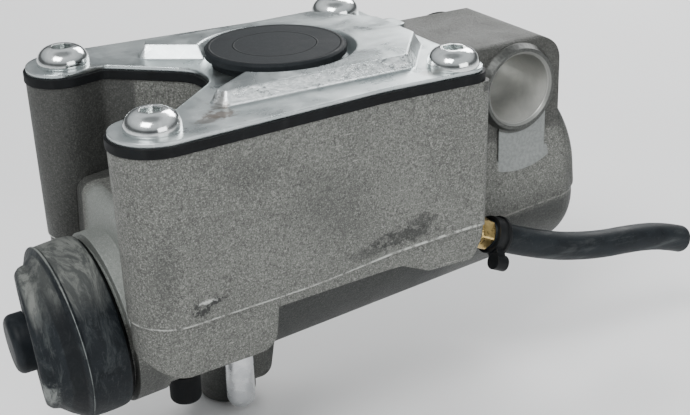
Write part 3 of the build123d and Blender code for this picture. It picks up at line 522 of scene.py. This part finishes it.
def boot_marks(k, hair):
    """Painted shade in the boot's fold and at its seat, a faint pale stripe along its lip, a painted
    highlight on the lip, and the seam.
    """
    x, _, z = k.axes()
    along = k.math("ADD", k.times(x, math.cos(TILT)), k.times(z, math.sin(TILT)))
    along = k.math("ADD", along, TO_EYE * MM)
    # Painted shade in the fold between the cone and the lip, on the lower side.
    fold = k.times(k.between(along, -12.4, -10.2, 0.5), k.ramp(z, -20.0, -30.0))
    k.paint(fold, (0.004, 0.005, 0.006), 0.7)
    # A faint pale stripe along the lip.
    lip = k.times(k.between(along, -15.2, -14.4, 0.3), k.span(hair, 0.44, 0.60, 0.0, 0.7))
    k.paint(lip, (0.050, 0.056, 0.056))
    # Painted highlight on the lower lip.
    lip_glint = k.spot((-112.0, -11.0, -45.0), (2.2, 3.0, 4.6), 0.5, 2.5)
    k.paint(k.times(lip_glint, k.span(hair, 0.36, 0.56, 0.2, 0.8)), (0.23, 0.245, 0.235))
    # Painted shade in the gap where the boot sits on the casting.
    seat = k.between(along, -0.75, 1.0, 0.1)
    k.paint(seat, (0.0012, 0.0014, 0.0016))
    seam = k.ramp(k.away(along, SEAM_AT * MM), 0.12, 0.04)
    k.paint(k.times(seam, k.span(k.noise(4.0, 4.0, 0.7), 0.36, 0.52, 0.3, 0.9)), (0.17, 0.185, 0.18))


def plug_rubber():
    """Dark grey rubber cap with two fine moulded rings on its bare top."""
    k = Look("cap_rubber", metallic=0.0, roughness=0.6, Specular_IOR_Level=0.10)
    x, y, _ = k.axes(k.place_from((-51.5, 0, 0)))
    radius = k.radius(x, y)
    rings = []
    for ring_radius, width in ((14.1, 0.22), (8.9, 0.16)):
        rings.append(k.ramp(k.away(radius, ring_radius * MM), width * 1.6, width * 0.4))
    groove = k.math("MAXIMUM", *rings)
    cloud = k.noise(6.0, 5.0, 0.65, 0.6)
    fine = k.noise(0.5, 3.0, 0.6)
    k.colour = k.mix(k.spread(cloud), (0.009, 0.011, 0.013), (0.018, 0.021, 0.023))
    k.paint(k.span(fine, 0.58, 0.74, 0.0, 0.4), (0.045, 0.05, 0.053))
    # Painted shade in the two moulded grooves.
    k.paint(groove, (0.006, 0.007, 0.007), 0.5)
    k.round_edges(0.35)
    k.bump(groove, 0.18, 0.8)
    k.bump(fine, 0.04, 0.6)
    return k.finish(k.spread(cloud, 0.5, 0.68))


def pale_floor():
    """Almost plain light grey."""
    k = Look("pale_floor", metallic=0.0, roughness=0.8)
    k.colour = k.mix(k.spread(k.noise(220.0, 3.0)), (0.80, 0.80, 0.80), (0.84, 0.84, 0.84))
    return k.finish()


# Each row: name, darker and lighter colour, least and most roughness, and any cloud size of its own.
METALS = (
    ("bright_steel", (0.66, 0.69, 0.69), (0.86, 0.88, 0.87), (0.09, 0.20)),
    ("zinc_pin", (0.60, 0.62, 0.64), (0.82, 0.83, 0.84), (0.2, 0.4)),
    ("spring_steel", (0.20, 0.20, 0.21), (0.34, 0.34, 0.35), (0.25, 0.4)),
    ("piston_aluminium", (0.55, 0.55, 0.56), (0.72, 0.72, 0.73), (0.22, 0.35)),
    ("brass", (0.55, 0.38, 0.13), (0.80, 0.60, 0.26), (0.2, 0.38), 3.0),
)
# Each row: name, darker and lighter colour, dust, its share, and any roughness and wipe of its own.
MOULDED = (
    ("black_steel", (0.006, 0.008, 0.010), (0.012, 0.015, 0.018), (0.035, 0.04, 0.045), 0.35, (0.45, 0.62)),
    ("black_rubber", (0.004, 0.0045, 0.005), (0.009, 0.010, 0.011), (0.03, 0.03, 0.03), 0.25),
    (
        "hose_rubber", (0.008, 0.010, 0.012), (0.017, 0.021, 0.024), (0.075, 0.082, 0.083), 0.6,
        (0.42, 0.6), (0.25, 2.0, 2.0),
    ),
    ("black_plastic", (0.005, 0.0055, 0.006), (0.010, 0.011, 0.012), (0.03, 0.03, 0.03), 0.3, (0.35, 0.55)),
)
looks = {
    "cast_aluminium": Casting().build(),
    "zinc_lid": zinc_sheet(),
    "cap_rubber": plug_rubber(),
    "boot_rubber": boot_rubber(),
}
looks.update((row[0], bright_metal(*row)) for row in METALS)
looks.update((row[0], moulded(*row)) for row in MOULDED)

slots = {entry["node"]: entry["material_slot"] for entry in frame["record"]["subparts"]}
for node, slot in slots.items():
    mesh = nodes[node].data
    mesh.materials.clear()
    mesh.materials.append(looks[slot])


# ------------------------------------------------------------------- meshes
def new_piece(name, points, faces, look, smooth_angle):
    """A mesh piece from points in metres, shaded smooth except at sharp edges."""
    mesh = bpy.data.meshes.new(name)
    mesh.from_pydata([tuple(p) for p in points], [], faces)
    mesh.update()
    piece = bpy.data.objects.new(name, mesh)
    bpy.context.scene.collection.objects.link(piece)
    mesh.materials.append(looks[look])
    for polygon in mesh.polygons:
        polygon.use_smooth = True
    mesh.set_sharp_from_angle(angle=math.radians(smooth_angle))
    return piece


def joined_rings(rings, around):
    """Faces that join each ring of points to the next, and the last one to the first."""
    faces = []
    for ring in range(rings):
        near, far = ring * around, (ring + 1) % rings * around
        for i in range(around):
            j = (i + 1) % around
            faces.append((near + i, far + i, far + j, near + j))
    return faces


def capped_rings(rings, around):
    """The same for a tube, closed by a flat face on its first ring and one on its last."""
    last = (rings - 1) * around
    faces = joined_rings(rings, around)[:last]
    faces.append(tuple(range(around)))
    faces.append(tuple(range(last + around - 1, last - 1, -1)))
    return faces


def smooth_line(points, steps):
    """Points along a smooth curve through the given ones."""
    line = []
    count = len(points)
    for i in range(count - 1):
        p0, p1 = points[max(i - 1, 0)], points[i]
        p2, p3 = points[i + 1], points[min(i + 2, count - 1)]
        for j in range(steps):
            t = j / steps
            a = 2 * t**3 - 3 * t**2 + 1
            b = t**3 - 2 * t**2 + t
            c = -2 * t**3 + 3 * t**2
            d = t**3 - t**2
            m1 = [(p2[k] - p0[k]) / 2 for k in (0, 1)]
            m2 = [(p3[k] - p1[k]) / 2 for k in (0, 1)]
            line.append(tuple(a * p1[k] + b * m1[k] + c * p2[k] + d * m2[k] for k in (0, 1)))
    line.append(points[-1])
    return line


# The boot's section, as places along the barrel and radii. It grips the nose, its groove and the rod.
BOOT_LENGTH = 15.0
NOSE_GRIP, GROOVE_GRIP, ROD_GRIP = 16.45, 15.25, 5.9
BAND = ((0.0, 17.9), (-0.4, 18.1), (-0.8, 18.7), (-2.4, 18.95), (-5.0, 18.95), (-7.2, 18.85), (-8.6, 18.8))
RIDGE = ((-8.85, 18.85), (-9.1, 19.05), (-9.5, 18.95), (-9.75, 18.4))
CONE = (
    (-10.1, 17.8), (-10.7, 17.2), (-11.4, 16.6), (-12.0, 16.0),
    (-12.6, 15.45), (-13.2, 15.3), (-13.9, 15.1),
)
LIP = (
    (-14.5, 14.6), (-15.0, 13.9), (-15.1, 13.0), (-14.9, 11.9),
    (-14.5, 10.0), (-14.4, 8.0), (-15.05, ROD_GRIP),
)
INSIDE = (
    (-13.8, ROD_GRIP), (-13.2, 9.2), (-13.3, 12.0), (-13.2, 13.6), (-12.0, 14.6), (-10.2, 15.0),
    (-8.4, NOSE_GRIP), (-8.0, NOSE_GRIP), (-2.25, NOSE_GRIP), (-2.25, GROOVE_GRIP),
    (-0.15, GROOVE_GRIP), (-0.15, NOSE_GRIP), (0.0, NOSE_GRIP),
)
LEAN_FROM, LEAN_OVER = -10.0, 3.2
WAVE, DENT, DENT_AT, DENT_WIDTH = 0.10, 0.22, -10.8, 1.3
UNEVEN_FROM = 9.0


def uneven(s, phi):
    """How far the soft boot stands off a true round, in millimetres."""
    wave = WAVE * math.sin(2 * phi + 0.6) * math.sin(math.pi * min(max(-s / BOOT_LENGTH, 0), 1))
    dent = DENT * math.exp(-(((s - DENT_AT) / DENT_WIDTH) ** 2)) * math.sin(3 * phi + 1.9)
    return wave + dent


def leaned(s, y, z, share):
    """A place on the boot, turned and leaned with the rod by a share, in metres."""
    skew, angle = FRONT_TURN * share, LEAN * share
    reach, y = s - BALL + y * math.sin(skew), y * math.cos(skew)
    along = BALL + reach * math.cos(angle) + y * math.sin(angle)
    across = -reach * math.sin(angle) + y * math.cos(angle)
    return barrel_point(along, across, z)


def boot_cover():
    """The rubber boot: a bulging cup whose front follows the leaning rod."""
    profile = smooth_line(BAND, 4) + smooth_line(RIDGE, 3) + smooth_line(CONE, 4) + smooth_line(LIP, 3)
    profile += INSIDE
    around = 128
    points = []
    for s, r in profile:
        share = min(max((LEAN_FROM - s) / LEAN_OVER, 0.0), 1.0)
        share = share * share * (3 - 2 * share)
        for i in range(around):
            phi = 2 * math.pi * i / around
            radius = r + (uneven(s, phi) if r > UNEVEN_FROM else 0.0)
            points.append(leaned(s, radius * math.cos(phi), radius * math.sin(phi), share))
    piece = new_piece("boot_cover", points, joined_rings(len(profile), around), "boot_rubber", 50)
    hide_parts("rubber_boot")
    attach(piece, "casting")
    return piece


# The hose leaves the outlet along its axis, and the rest of its route is where the photo shows it.
HOSE_RADIUS, HOSE_BORE = 3.3, 1.7
BORE_RINGS = 6  # the open end is hollow for this many places of the path
PORT, PORT_TILT = (-18.5, -26.0, -26.7), math.radians(25.0)
HOSE_START, HOSE_FIRST = 4.05, 15.5
HOSE_ROUTE = ((15.2, -26.2, -39.2), (29.0, -26.2, -40.5), (37.8, -26.0, -42.4), (43.9, -25.8, -44.9))


def port_point(distance):
    """A place on the outlet's axis, a distance out from its mouth."""
    return (PORT[0] + distance * math.cos(PORT_TILT), PORT[1], PORT[2] - distance * math.sin(PORT_TILT))


def spline_path(route):
    """Places in metres along a smooth spline that follows a route in millimetres."""
    curve = bpy.data.curves.new("hose_line", "CURVE")
    curve.dimensions = "3D"
    spline = curve.splines.new("NURBS")
    spline.points.add(len(route) - 1)
    for point, place in zip(spline.points, route):
        point.co = (*[c * MM for c in place], 1)
    spline.order_u = 3
    spline.use_endpoint_u = True
    spline.resolution_u = 24
    holder = bpy.data.objects.new("hose_line", curve)
    bpy.context.scene.collection.objects.link(holder)
    line = bpy.data.meshes.new_from_object(holder)
    path = [v.co.copy() for v in line.vertices]
    bpy.data.objects.remove(holder)
    return path


def hose_tube():
    """The bare-ended hose, a hollow tube along one smooth spline."""
    path = spline_path((port_point(HOSE_START), port_point(HOSE_START + HOSE_FIRST), *HOSE_ROUTE))
    around = 48
    last = len(path) - 1
    rings = [(0, HOSE_BORE + 0.1), (0, HOSE_RADIUS - 0.15)]
    rings += [(i, HOSE_RADIUS) for i in range(1, last)]
    rings += [(last, HOSE_RADIUS - 0.12), (last, HOSE_BORE + 0.15), (last - BORE_RINGS, HOSE_BORE)]
    points = []
    for index, radius in rings:
        ahead = path[min(index + 1, last)] - path[max(index - 1, 0)]
        ahead.normalize()
        side = ahead.cross(Vector((0, 0, 1))).normalized()
        up = side.cross(ahead)
        for i in range(around):
            phi = 2 * math.pi * i / around
            points.append(path[index] + (side * math.cos(phi) + up * math.sin(phi)) * radius * MM)
    piece = new_piece("hose_tube", points, capped_rings(len(rings), around), "hose_rubber", 60)
    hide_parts("hose")
    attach(piece, "casting")
    return piece


COIL_RADIUS, WIRE_RADIUS, COIL_TURNS, STROKE = 8.3, 1.0, 5.5, 15.0


def coil_spring():
    """The return spring as a coil of round wire."""
    cad = nodes["return_spring"]
    along = Vector((math.cos(TILT), 0, math.sin(TILT)))
    reach = [(cad.matrix_world @ v.co).dot(along) / MM + TO_EYE for v in cad.data.vertices]
    start, end = min(reach), max(reach)
    steps, around = 240, 12
    rise = end - start - 2 * WIRE_RADIUS
    slope = math.atan2(rise, 2 * math.pi * COIL_RADIUS * COIL_TURNS)
    points = []
    for step in range(steps + 1):
        turn = 2 * math.pi * COIL_TURNS * step / steps
        s = start + WIRE_RADIUS + rise * step / steps
        for i in range(around):
            phi = 2 * math.pi * i / around
            out, lift = WIRE_RADIUS * math.cos(phi), WIRE_RADIUS * math.sin(phi)
            back = lift * math.sin(slope)
            y = (COIL_RADIUS + out) * math.cos(turn) + back * math.sin(turn)
            z = (COIL_RADIUS + out) * math.sin(turn) - back * math.cos(turn)
            points.append(barrel_point(s + lift * math.cos(slope), y, z))
    piece = new_piece("coil_spring", points, capped_rings(steps + 1, around), slots["return_spring"], 60)
    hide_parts("return_spring")
    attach(piece, "casting")
    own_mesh(piece)
    return piece


boot_cover()
hose_tube()
coil_spring()


# ------------------------------------------------------- floor, light, camera
FLOOR_SIZE, FLOOR_GAP = 12.0, 0.0002
# Each stop: how far up the sky, from level to overhead, and how bright.
SKY_STOPS = ((0.0, 0.40), (0.05, 0.16), (0.24, 0.16), (0.36, 0.60), (0.62, 1.0), (0.86, 1.0), (0.97, 0.4))
SKY_STRENGTH = 0.8
# Each lamp: name, place and target in metres, its sides in metres, and its power in watts.
LAMPS = (
    ("key", (-0.55, -0.35, 0.75), (-0.05, 0, 0), (0.5, 0.4), 9.0),
    ("rim", (0.55, 0.45, 0.45), (-0.05, 0, 0), (0.5, 0.35), 7.0),
    ("fill", (0.2, -0.9, 0.25), (-0.05, 0, -0.02), (0.6, 0.4), 3.0),
)
# Where the photo's camera stood, in metres, its yaw, pitch and roll in degrees, and its lens.
CAMERA_PLACE = (-0.173436, -0.243498, 0.095757)
CAMERA_TURNS = (60.53, 23.59, -1.806)
CAMERA_LENS, SENSOR_WIDTH = 69.56, 36


def floor_sheet():
    """A wide flat sheet just under the part."""
    half, height = FLOOR_SIZE / 2, cad_box[0].z - FLOOR_GAP
    corners = [(-half, -half, height), (half, -half, height), (half, half, height), (-half, half, height)]
    mesh = bpy.data.meshes.new("floor")
    mesh.from_pydata(corners, [], [(0, 1, 2, 3)])
    mesh.materials.append(pale_floor())
    floor = bpy.data.objects.new("floor", mesh)
    bpy.context.scene.collection.objects.link(floor)


def studio_sky():
    """A faintly blue sky whose brightness changes with height."""
    world = bpy.data.worlds.new("studio")
    bpy.context.scene.world = world
    world.use_nodes = True
    sky = world.node_tree
    ramp = sky.nodes.new("ShaderNodeValToRGB")
    split = sky.nodes.new("ShaderNodeSeparateXYZ")
    sky.links.new(sky.nodes.new("ShaderNodeTexCoord").outputs["Generated"], split.inputs[0])
    sky.links.new(split.outputs["Z"], ramp.inputs[0])
    while len(ramp.color_ramp.elements) < len(SKY_STOPS):
        ramp.color_ramp.elements.new(0.5)
    for element, (height, level) in zip(ramp.color_ramp.elements, SKY_STOPS):
        element.position = height
        element.color = (level * 0.95, level * 0.98, level, 1)
    sky.links.new(ramp.outputs[0], sky.nodes["Background"].inputs["Color"])
    sky.nodes["Background"].inputs["Strength"].default_value = SKY_STRENGTH


def lamp(name, place, target, sides, power):
    """A rectangular lamp that faces its target."""
    light = bpy.data.lights.new(name, "AREA")
    light.shape = "RECTANGLE"
    light.size, light.size_y = sides
    light.energy = power
    holder = bpy.data.objects.new(name, light)
    bpy.context.scene.collection.objects.link(holder)
    holder.location = place
    holder.rotation_mode = "QUATERNION"
    holder.rotation_quaternion = (Vector(target) - Vector(place)).to_track_quat("-Z", "Y")


def photo_camera():
    """The camera that took the photo."""
    data = bpy.data.cameras.new("camera")
    data.sensor_width = SENSOR_WIDTH
    data.lens = CAMERA_LENS
    data.clip_start, data.clip_end = 0.01, 20
    camera = bpy.data.objects.new("camera", data)
    bpy.context.scene.collection.objects.link(camera)
    bpy.context.scene.camera = camera
    yaw, pitch, roll = (math.radians(turn) for turn in CAMERA_TURNS)
    ahead = Vector((math.cos(pitch) * math.cos(yaw), math.cos(pitch) * math.sin(yaw), -math.sin(pitch)))
    level = Vector((math.sin(yaw), -math.cos(yaw), 0))
    steep = level.cross(ahead)
    right = level * math.cos(roll) + steep * math.sin(roll)
    up = steep * math.cos(roll) - level * math.sin(roll)
    turned = Matrix((right, up, -ahead)).transposed().to_4x4()
    camera.matrix_world = Matrix.Translation(CAMERA_PLACE) @ turned


floor_sheet()
studio_sky()
for row in LAMPS:
    lamp(*row)
photo_camera()
